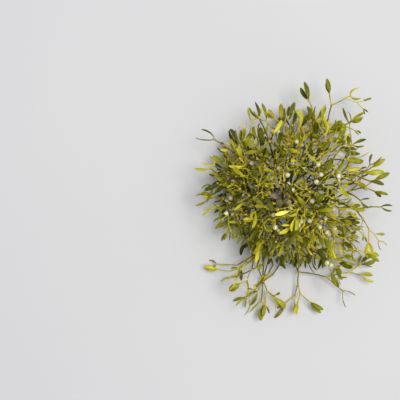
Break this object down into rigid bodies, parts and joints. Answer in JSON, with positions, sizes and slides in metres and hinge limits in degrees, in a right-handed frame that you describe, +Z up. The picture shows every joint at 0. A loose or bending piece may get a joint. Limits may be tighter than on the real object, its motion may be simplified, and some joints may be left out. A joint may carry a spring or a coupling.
{
  "type": "mistletoe bunch",
  "caption": "Cut bunch of mistletoe lying on a table: a short woody base, green limbs that fork in twos to pairs of leathery leaves, and white berries in the forks.",
  "frame": {"origin": "on the table, under the middle of the bunch as it lies", "axes": "+Z up from the table; +Y along the longer side of the bunch; +X away from the cut end of the base, which points to -X"},
  "size_m": [0.3286, 0.4136, 0.222],
  "materials": {
    "bark": "matte grey-brown bark with shallow wrinkles and a pale cut end",
    "green": "olive to yellow-green leaves and shoots with a soft waxy sheen, orange-brown at the nodes",
    "berry": "pearly white translucent skin with a small dark scar"
  },
  "bodies": {
    "root": {"berry_01": "berry", "berry_02": "berry", "berry_03": "berry", "berry_04": "berry", "berry_05": "berry", "berry_06": "berry", "berry_07": "berry", "berry_08": "berry", "berry_09": "berry", "berry_10": "berry", "berry_11": "berry", "berry_12": "berry", "berry_13": "berry", "berry_14": "berry", "berry_15": "berry", "berry_16": "berry", "berry_17": "berry", "berry_18": "berry", "berry_19": "berry", "berry_20": "berry", "berry_21": "berry", "berry_22": "berry", "berry_23": "berry", "berry_24": "berry", "berry_25": "berry", "berry_26": "berry", "berry_27": "berry", "berry_28": "berry", "berry_29": "berry", "berry_30": "berry", "limb_01": "green", "limb_02": "green", "limb_03": "green", "limb_04": "green", "limb_05": "green", "limb_06": "green", "limb_07": "green", "limb_08": "green", "limb_09": "green", "limb_10": "green", "limb_11": "green", "limb_12": "green", "limb_13": "green", "limb_14": "green", "limb_15": "green", "limb_16": "green", "limb_17": "green", "limb_18": "green", "limb_19": "green", "limb_20": "green", "limb_21": "green", "limb_22": "green", "limb_23": "green", "limb_24": "green", "limb_25": "green", "limb_26": "green", "limb_27": "green", "limb_28": "green", "limb_29": "green", "woody_base": "bark"}
  },
  "joints": []
}
